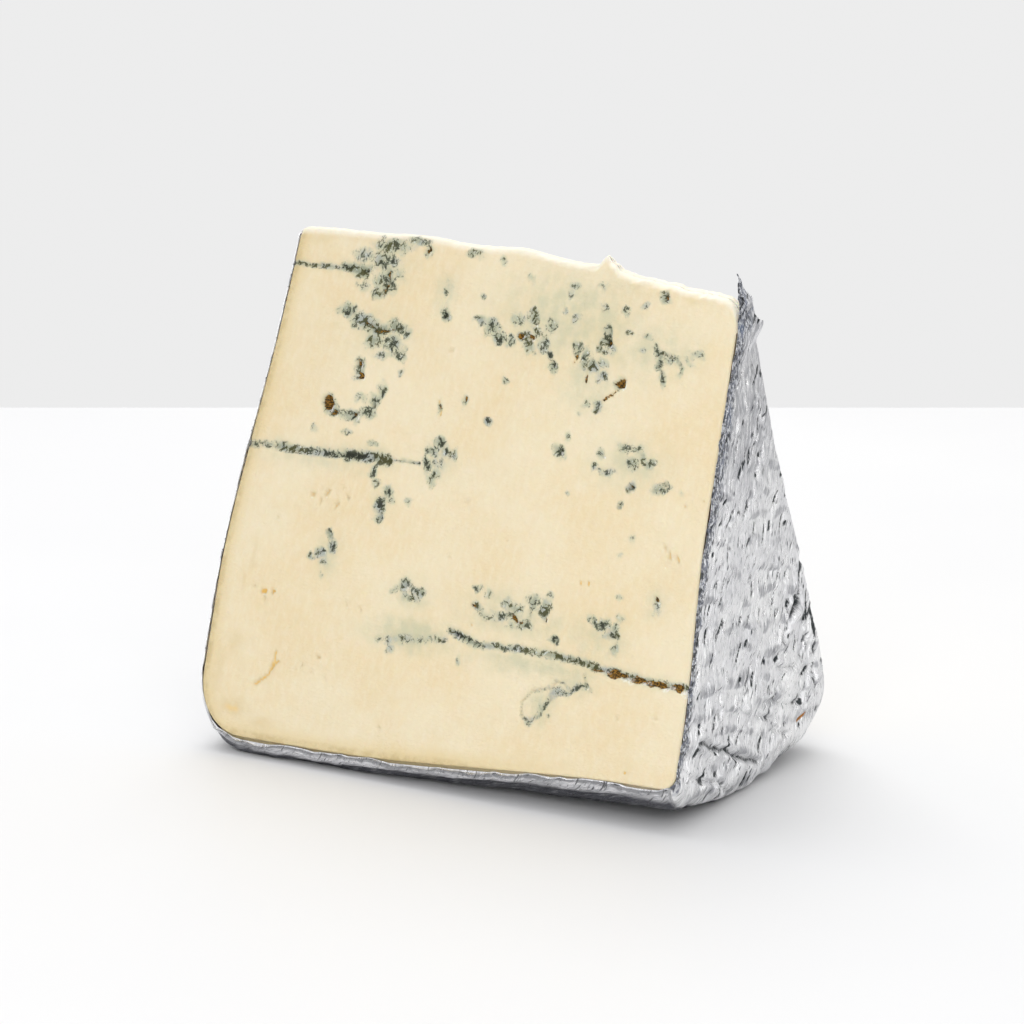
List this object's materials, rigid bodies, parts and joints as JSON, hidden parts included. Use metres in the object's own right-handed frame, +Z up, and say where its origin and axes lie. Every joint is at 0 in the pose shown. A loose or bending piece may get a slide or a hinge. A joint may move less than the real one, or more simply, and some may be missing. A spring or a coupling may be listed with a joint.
{
  "type": "cheese wedge",
  "caption": "Wedge of blue-veined cheese standing on its rim, bare on both cuts, with crinkled foil round the rim and both flat sides.",
  "frame": {"origin": "on the surface the wedge stands on, under the middle of its bounding box", "axes": "+X along the cheese wheel's axis towards the flat side with the standing foil tip, -Y the front cut face, +Z up"},
  "size_m": [0.1068, 0.0652, 0.0996],
  "materials": {
    "cheese_paste": null,
    "foil": "thin soft aluminium foil, crinkled and satin bright"
  },
  "bodies": {
    "root": {"cheese": "cheese_paste", "foil": "foil"}
  },
  "joints": []
}
